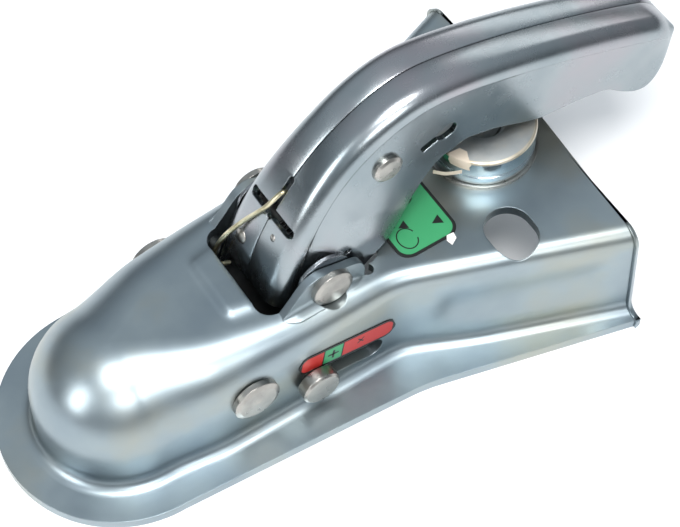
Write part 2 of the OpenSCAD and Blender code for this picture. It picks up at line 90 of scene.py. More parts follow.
@dataclass(frozen=True)
class Finish:
    """A procedural finish with patchy tints, fine grain and softened edges."""

    name: str
    tints: tuple[str, str, str]
    metallic: float = 1.0
    roughness: float = 0.3
    rough_span: float = 0.1
    patch_mm: float = 40.0
    grain_mm: float = 0.6
    grain_depth_mm: float = 0.01
    wave_mm: float = 0.0
    wave_depth_mm: float = 0.0
    edge_mm: float = 0.5
    speck: Optional[str] = None
    speck_mm: float = 6.0
    speck_from: float = 0.66

    def build(self) -> bpy.types.Material:
        """Builds the node tree.

        Returns:
            The finished material.
        """
        mat = bpy.data.materials.new(self.name)
        mat.use_nodes = True
        tree = mat.node_tree
        tree.nodes.clear()
        new = tree.nodes.new
        link = tree.links.new
        out = new("ShaderNodeOutputMaterial")
        bsdf = new("ShaderNodeBsdfPrincipled")
        link(bsdf.outputs["BSDF"], out.inputs["Surface"])
        bsdf.inputs["Metallic"].default_value = self.metallic
        place = new("ShaderNodeTexCoord")

        def noise(size_mm: float, detail: float, rough: float = 0.5) -> bpy.types.Node:
            """A noise whose features are about size_mm across.

            Args:
                size_mm: about how wide a feature is.
                detail: octaves of finer noise.
                rough: how strong the finer octaves are.

            Returns:
                The new noise node.
            """
            node = new("ShaderNodeTexNoise")
            node.inputs["Scale"].default_value = 1.0 / (size_mm * MM)
            node.inputs["Detail"].default_value = detail
            node.inputs["Roughness"].default_value = rough
            link(place.outputs["Object"], node.inputs["Vector"])
            return node

        patches = noise(self.patch_mm, 4.0)
        ramp = new("ShaderNodeValToRGB")
        ramp.color_ramp.elements[0].position = 0.34
        ramp.color_ramp.elements[1].position = 0.68
        ramp.color_ramp.elements[0].color = linear(self.tints[0])
        ramp.color_ramp.elements[1].color = linear(self.tints[2])
        middle = ramp.color_ramp.elements.new(0.5)
        middle.color = linear(self.tints[1])
        link(patches.outputs["Fac"], ramp.inputs["Fac"])
        colour = ramp.outputs["Color"]
        if self.speck is not None:
            blots = noise(self.speck_mm, 6.0, 0.65)
            edge = new("ShaderNodeMapRange")
            edge.inputs["From Min"].default_value = self.speck_from
            edge.inputs["From Max"].default_value = self.speck_from + 0.05
            link(blots.outputs["Fac"], edge.inputs["Value"])
            mix = new("ShaderNodeMix")
            mix.data_type = "RGBA"
            mix.inputs["B"].default_value = linear(self.speck)
            link(edge.outputs["Result"], mix.inputs["Factor"])
            link(colour, mix.inputs["A"])
            colour = mix.outputs["Result"]
        link(colour, bsdf.inputs["Base Color"])

        grain = noise(self.grain_mm, 3.0)
        rough = new("ShaderNodeMapRange")
        rough.inputs["To Min"].default_value = max(0.02, self.roughness - self.rough_span)
        rough.inputs["To Max"].default_value = self.roughness + self.rough_span
        smear = noise(self.patch_mm * 0.35, 5.0, 0.6)
        link(smear.outputs["Fac"], rough.inputs["Value"])
        link(rough.outputs["Result"], bsdf.inputs["Roughness"])

        bump = new("ShaderNodeBump")
        bump.inputs["Strength"].default_value = 1.0
        bump.inputs["Distance"].default_value = self.grain_depth_mm * MM
        link(grain.outputs["Fac"], bump.inputs["Height"])
        normal = bump
        if self.wave_mm > 0:
            swell = noise(self.wave_mm, 1.0)
            wide = new("ShaderNodeBump")
            wide.inputs["Strength"].default_value = 1.0
            wide.inputs["Distance"].default_value = self.wave_depth_mm * MM
            link(swell.outputs["Fac"], wide.inputs["Height"])
            link(bump.outputs["Normal"], wide.inputs["Normal"])
            normal = wide
        if self.edge_mm > 0:
            bevel = new("ShaderNodeBevel")
            bevel.samples = 4
            bevel.inputs["Radius"].default_value = self.edge_mm * MM
            link(bevel.outputs["Normal"], bump.inputs["Normal"])
        link(normal.outputs["Normal"], bsdf.inputs["Normal"])
        return mat


# Zinc plate over pressed sheet, with faint blue and yellow passivation
ZINC_HOUSING = Finish("zinc_plated_sheet", ("8C989F", "98A3A7", "A3A59C"), roughness=0.36, rough_span=0.1,
                      patch_mm=45, wave_mm=16, wave_depth_mm=0.05)
# The handle's pressings are shinier, with a hint of violet and a few brown specks
ZINC_HANDLE = Finish("bright_zinc_sheet", ("8E989C", "9CA3A6", "A5A2A6"), roughness=0.26, rough_span=0.08,
                     patch_mm=35, wave_mm=14, wave_depth_mm=0.04, speck="8B7F6B", speck_mm=5, speck_from=0.72)
# Turned pins and rivets in warm grey zinc
PIN_STEEL = Finish("turned_zinc_steel", ("96938E", "A5A29C", "B0ACA6"), roughness=0.3, patch_mm=8,
                   grain_mm=0.4)
# Spring wire with a cream passivation
SPRING_WIRE = Finish("cream_spring_wire", ("A9A083", "C9C09F", "DAD3B6"), roughness=0.3, patch_mm=6)
# Sintered bronze of the hidden bush
BUSH = Finish("sintered_bronze", ("7A5C33", "8A6B3D", "97784A"), roughness=0.5, patch_mm=5)
# Blackened steel of the jaw and the slide
BLACK_STEEL = Finish("blackened_steel", ("2A2B2C", "343536", "3F3F3E"), roughness=0.45, patch_mm=10)
# Face of the clamping disc, turned steel dulled by handling
DISC_STEEL = Finish("disc_turned_steel", ("A9AEAF", "B4B7B6", "BDBAB2"), roughness=0.5, patch_mm=9,
                    grain_mm=0.5)
# Rim of the disc, bright blue-white zinc
DISC_RIM = Finish("disc_bright_rim", ("A8BAC3", "B6C6CD", "C2CBCD"), roughness=0.2, patch_mm=9, grain_mm=0.4)
# Lighter cream band on the rounded edge between the face and the rim of the disc
DISC_EDGE = Finish("disc_cream_edge_band", ("BDB39F", "C9BFAC", "D2CABA"), roughness=0.45, patch_mm=5, grain_mm=0.4)
# Printed vinyl in green, red and black, and the label's torn white paper
PRINT_GREEN = Finish("vinyl_green", ("358C5B", "3A9260", "3F9865"), metallic=0, roughness=0.4, edge_mm=0)
PRINT_RED = Finish("vinyl_red", ("A5211F", "B02A26", "BA332D"), metallic=0, roughness=0.4, edge_mm=0)
PRINT_BLACK = Finish("vinyl_black", ("111312", "151716", "1B1D1C"), metallic=0, roughness=0.45, edge_mm=0)
PRINT_WHITE = Finish("torn_label_paper", ("E6DEDA", "EFEAE6", "F4F1EE"), metallic=0, roughness=0.7, edge_mm=0)
# Dried adhesive and tape paper left on the disc
TAPE = Finish("tape_residue", ("C9B9A6", "D3C5B2", "DACFBE"), metallic=0, roughness=0.75, edge_mm=0)
# Matt pale paper under the part
FLOOR = Finish("pale_paper", ("F4F4F4", "F6F6F6", "F8F8F8"), metallic=0, roughness=0.9, rough_span=0.02,
               patch_mm=300, grain_mm=2, edge_mm=0)


class Palette:
    """Builds each finish once and hands it out."""

    def __init__(self) -> None:
        """Starts with no material built."""
        self._built: dict[str, bpy.types.Material] = {}

    def get(self, finish: Finish) -> bpy.types.Material:
        """The material of a finish.

        Args:
            finish: the finish.

        Returns:
            Its material, built at the first call.
        """
        if finish.name not in self._built:
            self._built[finish.name] = finish.build()
        return self._built[finish.name]


PALETTE = Palette()

CAD_FINISHES: dict[str, Finish] = {
    "handle_rivet": PIN_STEEL,
    "handle_rivet_sleeve": PIN_STEEL,
    "pivot_pin": PIN_STEEL,
    "lever_plate_left": ZINC_HANDLE,
    "lever_plate_right": ZINC_HANDLE,
    "pivot_spring": BLACK_STEEL,
    "jaw_rivet": PIN_STEEL,
    "jaw_bush": BUSH,
    "jaw_washers": PIN_STEEL,
    "ball_jaw": BLACK_STEEL,
    "jaw_spring": SPRING_WIRE,
    "indicator_pin": PIN_STEEL,
    "indicator_pin_washer": PIN_STEEL,
    "locking_slide": BLACK_STEEL,
    "clamp_disc": DISC_STEEL,
    "disc_base_washer": PIN_STEEL,
    "clamp_screw": DISC_STEEL,
    "clamp_nut_washer": PIN_STEEL,
    "clamp_nut": PIN_STEEL,
    "instruction_label": PRINT_BLACK,
    "indicator_label": PRINT_BLACK,
    "housing": ZINC_HOUSING,
    "handle_left_shell": ZINC_HANDLE,
    "handle_right_shell": ZINC_HANDLE,
}


# Mesh helpers


def mesh_object(name: str, points: Array, faces: Sequence[Sequence[int]], finishes: Sequence[Finish],
                smooth_deg: float = 35.0) -> bpy.types.Object:
    """Makes a mesh object from points in millimetres.

    Args:
        name: the object's name.
        points: an array of N by 3 points in millimetres.
        faces: point indices of each face.
        finishes: finishes for the material slots, the first one used.
        smooth_deg: edges that bend more than this stay sharp.

    Returns:
        The new object, linked to the scene.
    """
    mesh = bpy.data.meshes.new(name)
    mesh.from_pydata((np.asarray(points, dtype=float) * MM).tolist(), [], [list(f) for f in faces])
    mesh.update()
    for finish in finishes:
        mesh.materials.append(PALETTE.get(finish))
    obj = bpy.data.objects.new(name, mesh)
    bpy.context.scene.collection.objects.link(obj)
    smooth(obj, smooth_deg)
    return obj


def smooth(obj: bpy.types.Object, angle_deg: float) -> None:
    """Shades an object smooth up to an angle.

    Args:
        obj: the object.
        angle_deg: edges that bend more than this stay sharp.
    """
    mesh = obj.data
    mesh.polygons.foreach_set("use_smooth", np.ones(len(mesh.polygons), dtype=bool))
    mesh.set_sharp_from_angle(angle=math.radians(angle_deg))


def combine(obj: bpy.types.Object, others: Sequence[bpy.types.Object], operation: str) -> None:
    """Applies exact booleans with other objects, which are then removed.

    Args:
        obj: the object to change.
        others: the operands.
        operation: DIFFERENCE or UNION.

    Raises:
        RuntimeError: if the boolean has swallowed the object.
    """
    for other in others:
        step = obj.modifiers.new("cut", "BOOLEAN")
        step.operation = operation
        step.solver = "EXACT"
        step.object = other
    depsgraph = bpy.context.evaluated_depsgraph_get()
    result = bpy.data.meshes.new_from_object(obj.evaluated_get(depsgraph))
    obj.modifiers.clear()
    old = obj.data
    if len(result.vertices) < len(old.vertices) // 2:
        left, whole = len(result.vertices), len(old.vertices)
        raise RuntimeError(f"{obj.name}: {operation} left {left} of {whole} points")
    obj.data = result
    bpy.data.meshes.remove(old)
    weld(result)
    for other in others:
        mesh = other.data
        bpy.data.objects.remove(other)
        bpy.data.meshes.remove(mesh)


def weld(mesh: bpy.types.Mesh) -> None:
    """Merges the near-double points that booleans leave behind.

    Args:
        mesh: the mesh, changed in place.
    """
    work = bmesh.new()
    work.from_mesh(mesh)
    bmesh.ops.remove_doubles(work, verts=work.verts, dist=WELD_M)
    bmesh.ops.dissolve_degenerate(work, dist=WELD_M, edges=work.edges)
    work.to_mesh(mesh)
    work.free()


def circle(radius: float, steps: int = 48, centre: tuple[float, float] = (0, 0)) -> Array:
    """A circle of points in the plane."""
    angle = np.linspace(0, 2 * math.pi, steps, endpoint=False)
    return np.column_stack((centre[0] + radius * np.cos(angle), centre[1] + radius * np.sin(angle)))


def turned(outline: Array, angle_deg: float, centre: tuple[float, float]) -> Array:
    """Turns an outline about the origin and then moves it to a centre.

    Args:
        outline: the outline's points.
        angle_deg: the angle, anticlockwise in the plane.
        centre: where the origin goes.

    Returns:
        The moved points.
    """
    a = math.radians(angle_deg)
    spin = np.array([[math.cos(a), math.sin(a)], [-math.sin(a), math.cos(a)]])
    return outline @ spin + np.array(centre)


def rounded_box(length: float, width: float, radius: float, steps: int = 8) -> Array:
    """Outline of a rectangle with round corners, about the origin.

    Args:
        length: size along the first axis.
        width: size along the second axis.
        radius: corner radius.
        steps: points in each corner.

    Returns:
        The outline, anticlockwise.
    """
    rows = []
    for i, (sx, sy) in enumerate(((1, 1), (-1, 1), (-1, -1), (1, -1))):
        angle = np.radians(90 * i) + np.linspace(0, math.pi / 2, steps)
        rows.append(np.column_stack((sx * (length / 2 - radius) + radius * np.cos(angle),
                                     sy * (width / 2 - radius) + radius * np.sin(angle))))
    return np.vstack(rows)


class Plane(Enum):
    """Planes an outline can be drawn in."""

    XY = "xy"
    XZ = "xz"


def prism(name: str, outline: Array, low: float, high: float, plane: Plane,
          finishes: Sequence[Finish] = (), smooth_deg: float = 35.0) -> bpy.types.Object:
    """Extrudes an outline along the axis that its plane leaves out.

    Args:
        name: the object's name.
        outline: the outline's points.
        low: start of the extrusion.
        high: end of the extrusion.
        plane: the plane that the outline is drawn in.
        finishes: finishes for the material slots.
        smooth_deg: edges that bend more than this stay sharp.

    Returns:
        The new closed object.
    """
    n = len(outline)
    points = np.zeros((2 * n, 3))
    axes = (0, 1, 2) if plane is Plane.XY else (0, 2, 1)
    points[:n, axes[0]] = points[n:, axes[0]] = outline[:, 0]
    points[:n, axes[1]] = points[n:, axes[1]] = outline[:, 1]
    points[:n, axes[2]] = low
    points[n:, axes[2]] = high
    sides = [(i, (i + 1) % n, n + (i + 1) % n, n + i) for i in range(n)]
    faces: list[Sequence[int]] = [tuple(reversed(range(n))), tuple(range(n, 2 * n))] + sides
    after = np.roll(outline, -1, axis=0)
    area = float(np.sum(outline[:, 0] * after[:, 1] - outline[:, 1] * after[:, 0]))
    if (area < 0) != (plane is Plane.XZ):
        faces = [tuple(reversed(f)) for f in faces]
    return mesh_object(name, points, faces, finishes, smooth_deg)


def lathe(name: str, profile: Array, centre: tuple[float, float, float], finishes: Sequence[Finish],
          steps: int = 96) -> bpy.types.Object:
    """Turns a closed profile of radius and height round a vertical axis.

    Args:
        name: the object's name.
        profile: rows of radius and height.
        centre: the foot of the axis.
        finishes: finishes for the material slots.
        steps: segments round the axis.

    Returns:
        The new ring-shaped object.
    """
    angle = np.linspace(0, 2 * math.pi, steps, endpoint=False)
    radius, height = profile[:, 0], profile[:, 1]
    points = np.stack((np.outer(np.cos(angle), radius), np.outer(np.sin(angle), radius),
                       np.outer(np.ones(steps), height)), axis=2).reshape(-1, 3) + np.array(centre)
    n = len(profile)
    faces = [(i * n + j, (i + 1) % steps * n + j, (i + 1) % steps * n + (j + 1) % n, i * n + (j + 1) % n)
             for i in range(steps) for j in range(n)]
    return mesh_object(name, points, faces, finishes)


def ring_quads(rings: int, n: int, first: int = 0) -> list[Sequence[int]]:
    """Quads that join rings of points, each ring to the one after it.

    Args:
        rings: how many rings there are.
        n: points in each ring.
        first: index of the first point of the first ring.

    Returns:
        The quads, without the two end faces.
    """
    quads: list[Sequence[int]] = []
    for low in range(first, first + (rings - 1) * n, n):
        for j in range(n):
            k = (j + 1) % n
            quads.append((low + j, low + k, low + n + k, low + n + j))
    return quads


def tube(name: str, path: Array, radius: float, finishes: Sequence[Finish],
         sides: int = 16) -> bpy.types.Object:
    """Sweeps a round wire along a path.

    Args:
        name: the object's name.
        path: points along the wire's middle.
        radius: the wire's radius.
        finishes: finishes for the material slots.
        sides: points round the wire.

    Returns:
        The new closed object.
    """
    ahead = np.gradient(path, axis=0)
    ahead /= np.linalg.norm(ahead, axis=1, keepdims=True)
    side = np.cross(ahead[0], [0.0, 0.0, 1.0])
    side /= np.linalg.norm(side)
    angle = np.linspace(0, 2 * math.pi, sides, endpoint=False)
    rings = []
    for point, forward in zip(path, ahead):
        side = side - forward * float(side @ forward)
        side /= np.linalg.norm(side)
        up = np.cross(forward, side)
        rings.append(point + radius * (np.outer(np.cos(angle), side) + np.outer(np.sin(angle), up)))
    m = len(path)
    faces = ring_quads(m, sides)
    faces += [tuple(reversed(range(sides))), tuple(range((m - 1) * sides, m * sides))]
    return mesh_object(name, np.vstack(rings), faces, finishes)


def spline(knots: Array, per_span: int = 12) -> Array:
    """A Catmull-Rom curve through knots.

    Args:
        knots: rows of points.
        per_span: points between two knots.

    Returns:
        The dense points.
    """
    padded = np.vstack((2 * knots[0] - knots[1], knots, 2 * knots[-1] - knots[-2]))
    t = np.linspace(0, 1, per_span, endpoint=False)[:, None]
    rows = []
    for a, b, c, d in zip(padded, padded[1:], padded[2:], padded[3:]):
        rows.append(0.5 * (2 * b + (c - a) * t + (2 * a - 5 * b + 4 * c - d) * t ** 2
                           + (3 * b - a - 3 * c + d) * t ** 3))
    rows.append(knots[-1:])
    return np.vstack(rows)


def ease(value: Array | float) -> Array:
    """Smooth step from 0 to 1."""
    c = np.clip(value, 0, 1)
    return c * c * (3 - 2 * c)


def fix_normals(obj: bpy.types.Object) -> None:
    """Turns all faces of a closed object outwards.

    Args:
        obj: the object, changed in place.
    """
    work = bmesh.new()
    work.from_mesh(obj.data)
    bmesh.ops.recalc_face_normals(work, faces=work.faces)
    work.to_mesh(obj.data)
    work.free()


def bezier(p: Array, t: Array) -> Array:
    """Points of a cubic curve."""
    t = np.asarray(t)[..., None]
    return (1 - t) ** 3 * p[0] + 3 * (1 - t) ** 2 * t * p[1] + 3 * (1 - t) * t * t * p[2] + t ** 3 * p[3]


def finish_piece(obj: bpy.types.Object, body: Body,
                 replaces: Sequence[str] = ()) -> bpy.types.Object:
    """Attaches a piece to the body that it moves with and hides the CAD nodes that it stands for.

    Args:
        obj: the piece.
        body: the body that it moves with.
        replaces: CAD nodes that it stands for.

    Returns:
        The same piece.
    """
    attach(obj, body.value)
    if replaces:
        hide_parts(*replaces)
    LOG.info("%s rides on %s, %d faces", obj.name, body.value, len(obj.data.polygons))
    return obj


# Sub-assemblies


@dataclass
class PressedHousing:
    """The pressed sheet housing, with the same form as the CAD node but finer."""

    dome_r: float = 29.5
    sheet: float = 4.0
    plate_z: float = 27.0
    flange_top: float = -15.0
    nose_flange_r: float = 43.0
    side_y: float = 32.0
    bend_back: float = 92.0
    rear_back: float = 172.0
    rear_y: float = 62.0
    rear_flange: float = 8.0
    shoulder_r: float = 7.0
    foot_r: float = 5.0
    groove_depth: float = 2.0
    lip_rise: float = 1.4
    lip_half_y: float = 15.0
    opening: tuple[float, float, float] = (46.5, 94.0, 20.0)
    opening_corner: float = 6.0
    ear_sheet: float = 3.0
    root_size: float = 3.4
    pivot_head_room: float = 7.8
    pivot_hole_r: float = 4.0
    jaw_hole_r: float = 5.0
    screw_hole_r: float = 6.5
    side_cut: float = 50.0
    pivot: tuple[float, float] = (-70.5, 33.0)
    ear_above: float = 9.5
    bolt_at: tuple[float, float] = (-134.8, 35.7)
    bolt_slot: tuple[float, float] = (17.0, 20.4)
    disc_back: float = 147.5
    jaw_axis: tuple[float, float] = (-34.5, 7.0)
    pin_rest: tuple[float, float] = (-57.6, -2.0)
    pin_travel: float = 23.4
    slot_h: float = 9.0
    slope: float = 9.0
    wall_lean: float = 2.0
    bend_blend: float = 6.0
    widen_end: float = 25.0
    rake: float = 0.06
    nose_steps: int = 56
    shoulder_steps: int = 14
    wall_steps: int = 12
    foot_steps: int = 7

    def _behind(self, x: float) -> float:
        """Distance behind the bend, rounded into the straight front.

        Args:
            x: station along the head.

        Returns:
            The distance, 0 well in front of the bend.
        """
        u = -x - self.bend_back
        if u <= -self.bend_blend:
            return 0.0
        return u if u >= self.bend_blend else (u + self.bend_blend) ** 2 / (4 * self.bend_blend)

    def wall_y(self, x: float) -> float:
        """Half width over the side walls at a station."""
        return self.dome_r + (self.side_y - self.dome_r) * float(ease(-x / self.widen_end)) \
            + (self.rear_y - self.side_y) / (self.rear_back - self.bend_back) * self._behind(x)

    def _section(self, x: float, off: float) -> Array:
        """Half of a cross-section from crown to flange edge.

        Args:
            x: station along the head.
            off: how far the section is moved inwards.

        Returns:
            Rows of half width and height.
        """
        run = self.rear_back - self.bend_back
        back = self._behind(x)
        w = self.wall_y(x)
        flange = self.nose_flange_r + 0.07 * max(0.0, -x) \
            + (self.rear_y + self.rear_flange - self.nose_flange_r - 0.07 * self.rear_back) / run * back
        r = self.shoulder_r + (self.dome_r - 0.5 - self.shoulder_r) * max(0.0, 1 + x / 100) ** 2
        lip = self.lip_rise * float(ease((-x - 36) / 3)) * float(ease((self.opening[0] + 2.2 + x) / 2.5))
        h = self.plate_z + (self.dome_r - self.plate_z) * max(0.0, 1 + x / 60)
        lean = self.wall_lean * float(ease((-x - self.bend_back) / 30))
        groove = self.groove_depth * float(ease((-x - self.bend_back - 10) / 10)) \
            * float(ease((self.rear_back - 8 + x) / 6))
        foot_z = self.flange_top + self.foot_r
        a = np.radians(np.linspace(90, 0, self.shoulder_steps + 1))
        across = np.minimum(self.lip_half_y + np.array([-15.0, -8.0, -2.0, 0.0, 0.9, 1.7, 2.5]),
                            (w - r) * np.array([0.0, 0.2, 0.5, 0.65, 0.72, 0.8, 0.9]))
        fade = np.array([1.0, 1.0, 1.0, 0.93, 0.6, 0.25, 0.0])
        rows = [np.column_stack((across, h + lip * fade - off)),
                np.column_stack((w - r + (r - off) * np.cos(a), h - r + (r - off) * np.sin(a)))]
        s = np.arange(1, self.wall_steps + 1) / (self.wall_steps + 1)
        rows.append(np.column_stack((w - off + lean * s - groove * np.sin(np.pi * s) ** 2,
                                     (h - r) * (1 - s) + foot_z * s)))
        a = np.radians(np.linspace(180, 270, self.foot_steps + 1))
        rows.append(np.column_stack((w + lean + self.foot_r + (self.foot_r + off) * np.cos(a),
                                     foot_z + (self.foot_r + off) * np.sin(a))))
        rows.append(np.array([[flange, self.flange_top - off]]))
        return np.vstack(rows)

    def _stations(self) -> Array:
        """Stations along the head, dense where the form changes."""
        return np.unique(np.concatenate((
            np.linspace(-self.rear_back, -self.rear_back + 16, 9), np.linspace(-156, -112, 8),
            np.linspace(-112, -84, 15), np.linspace(-84, -50, 7), np.linspace(-50, -34, 17),
            np.linspace(-34, 0, 18))))

    def sheet_mesh(self) -> bpy.types.Object:
        """Builds the closed sheet before anything is cut.

        Returns:
            The sheet as an object.
        """
        xs = self._stations()
        points: list[Array] = []
        for off in (0.0, self.sheet):
            for x in xs:
                half = self._section(float(x), off)
                full = np.vstack((half[:0:-1] * [-1, 1], half))
                px = np.full(len(full), x)
                if x == xs[0]:
                    px = px + self.rake * np.abs(full[:, 0])
                points.append(np.column_stack((px, full)))
            half = self._section(0.0, off)[1:]
            for k in range(1, self.nose_steps):
                a = math.pi / 2 - math.pi * k / self.nose_steps
                out, up = half[:, 0], half[:, 1]
                points.append(np.column_stack((out * math.cos(a), out * math.sin(a), up)))
        cloud = np.vstack(points)
        last = len(half)
        width = 2 * last + 1
        rows = len(xs)
        total = rows * width + (self.nose_steps - 1) * last

        def body(i: int, j: int) -> int:
            """Index of a point on the full cross-sections."""
            return i * width + j + last

        def nose(k: int, j: int) -> int:
            """Index of a point on the nose, shared with the last cross-section.

            Args:
                k: step round the nose.
                j: place along the half section.

            Returns:
                The index of the point.
            """
            if j == 0:
                return body(rows - 1, 0)
            if k == 0:
                return body(rows - 1, j)
            if k == self.nose_steps:
                return body(rows - 1, -j)
            return rows * width + (k - 1) * last + j - 1

        skin = [(body(i, j), body(i + 1, j), body(i + 1, j + 1), body(i, j + 1))
                for i in range(rows - 1) for j in range(-last, last)]
        for k in range(self.nose_steps):
            skin.append((nose(k, 0), nose(k + 1, 1), nose(k, 1)))
            skin += [(nose(k, j), nose(k + 1, j), nose(k + 1, j + 1), nose(k, j + 1)) for j in range(1, last)]
        rim = [body(i, last) for i in range(rows)] + [nose(k, last) for k in range(1, self.nose_steps)] \
            + [body(i, -last) for i in range(rows - 1, -1, -1)] + [body(0, j) for j in range(-last + 1, last)]
        faces: list[Sequence[int]] = list(skin)
        faces += [tuple(i + total for i in reversed(f)) for f in skin]
        faces += [(a, b, b + total, a + total) for a, b in zip(rim, rim[1:] + rim[:1])]
        obj = mesh_object("housing_pressing", cloud, faces, [ZINC_HOUSING])
        fix_normals(obj)
        return obj

    def ear_outline(self) -> Array:
        """Side outline of an ear.

        Returns:
            Its points in the side view, from the front of the foot over the top to the rear.
        """
        front = -self.opening[0] - 0.5
        rear = self.pivot[0] - 13.5
        top = self.pivot[1] + self.ear_above
        mid = self.pivot[0]
        knots = np.array([[front - 4.5, 26.4], [front - 6, 28.2], [front - 9, 31.8], [mid + 10, top - 5],
                          [mid + 7, top - 2.8], [mid + 3, top - 2.1], [mid - 3.5, top - 3.9],
                          [mid - 9.2, top - 5.4], [mid - 12, top - 7], [rear, top - 10]])
        edge = spline(knots, 6)
        return np.vstack(([[front - 4.5, 24.0]], edge, [[rear, 24.0]]))

    def ear_root(self, side: int) -> bpy.types.Object:
        """The concave bend where an ear grows out of the plate.

        A closed strip along X: its section is a corner whose slanted side is a quarter circle
        that is tangent to the ear's face and to the plate, and it fades out at both ends.

        Args:
            side: 1 for the left ear, -1 for the right.

        Returns:
            The strip.
        """
        xs = np.linspace(-self.opening[0] - 5.5, self.pivot[0] - 12.5, 30)
        share = np.clip(np.minimum((xs[0] - xs) / 5, (xs - xs[-1]) / 4), 0.03, 1) ** 0.5
        face = self.opening[2] + self.ear_sheet
        angle = np.radians(np.linspace(0, 90, 9))
        arc = np.column_stack((1 - np.sin(angle), 1 - np.cos(angle)))[::-1]
        section = np.vstack((arc, [[1.0, -0.4], [-0.12, -0.4], [-0.12, 1.0]]))
        n = len(section)
        size = self.root_size * share
        y = side * (face + np.outer(size, section[:, 0]))
        dip = np.where(section[:, 0] > 0, 0.62 * section[:, 0] ** 2, 0.0)
        z = self.plate_z + np.outer(size, section[:, 1]) - np.outer(size / self.root_size, dip)
        points = np.stack((np.repeat(xs[:, None], n, axis=1), y, z), axis=2).reshape(-1, 3)
        faces = ring_quads(len(xs), n)
        faces += [tuple(range(n)), tuple(range((len(xs) - 1) * n, len(xs) * n))]
        obj = mesh_object("ear_root_left" if side > 0 else "ear_root_right", points, faces, [ZINC_HOUSING])
        fix_normals(obj)
        return obj

    def build(self) -> bpy.types.Object:
        """Builds the housing with its ears, holes and slots.

        Returns:
            The dressed housing.
        """
        obj = self.sheet_mesh()
        front, rear, inner = self.opening
        hole = rounded_box(rear - front, 2 * inner, self.opening_corner, 12)
        hole = turned(hole, 0, (-(front + rear) / 2, 0))
        combine(obj, [prism("cut", hole, 10, 60, Plane.XY)], "DIFFERENCE")
        ears = [prism("ear", self.ear_outline(), low, low + self.ear_sheet, Plane.XZ)
                for low in (inner, -inner - self.ear_sheet)]
        combine(obj, ears + [self.ear_root(1), self.ear_root(-1)], "UNION")
        cutters = []
        for side in (-1, 1):
            round_hole = circle(2.2, 24, (self.pivot[0] - 15.5, side * (inner + 1.5)))
            cutters.append(prism("cut", round_hole, 19, 31, Plane.XY))
            narrow, wide = self.bolt_slot
            slot = rounded_box(wide, narrow - 0.02, narrow / 2 - 0.02, 16)
            slot = turned(slot, 90, (self.bolt_at[0], side * self.bolt_at[1]))
            cutters.append(prism("cut", slot, 20, 30, Plane.XY))
        cutters.append(prism("cut", circle(self.screw_hole_r, 48, (-self.disc_back, 0)), 20, 30, Plane.XY))
        for radius, at in ((self.jaw_hole_r, self.jaw_axis), (self.pivot_hole_r, self.pivot)):
            cutters.append(prism("cut", circle(radius, 48, at), -self.side_cut, self.side_cut, Plane.XZ))
        outer = inner + self.ear_sheet
        for low, high in ((outer, 40.0), (-40.0, -outer)):
            cutters.append(prism("cut", circle(self.pivot_head_room, 64, self.pivot), low, high, Plane.XZ))
        a = math.radians(self.slope)
        middle = (self.pin_rest[0] - math.cos(a) * self.pin_travel / 2,
                  self.pin_rest[1] - math.sin(a) * self.pin_travel / 2)
        long_slot = rounded_box(self.pin_travel + self.slot_h + 1, self.slot_h, self.slot_h / 2 - 0.01, 12)
        long_slot = turned(long_slot, self.slope, middle)
        cutters.append(prism("cut", long_slot, -self.side_cut, self.side_cut, Plane.XZ))
        combine(obj, cutters, "DIFFERENCE")
        smooth(obj, 32)
        return finish_piece(obj, Body.ROOT, ["housing"])


